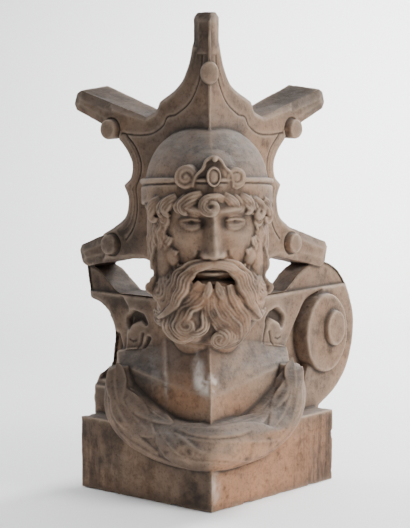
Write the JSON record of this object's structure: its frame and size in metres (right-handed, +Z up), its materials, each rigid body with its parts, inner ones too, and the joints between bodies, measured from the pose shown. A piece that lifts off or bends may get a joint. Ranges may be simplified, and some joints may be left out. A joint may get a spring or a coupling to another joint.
{
  "type": "corner acroterion",
  "caption": "Fired-clay corner roof ornament: a bearded, crowned head on a bust in front of a rayed crown and volute wings, on a plain block set corner forwards.",
  "frame": {"origin": "on the underside of the block, in the upright plane through the front corner, 0.19 m behind that corner", "axes": "+Z up, the front corner and the face point to -Y, +X is to the viewer's right"},
  "size_m": [0.4441, 0.4331, 0.7],
  "materials": {
    "fired_clay": "matt fired clay, tan to dark brown, with grey soot on its upper sides and worn edges"
  },
  "bodies": {
    "root": {"acroterion": "fired_clay"}
  },
  "joints": []
}
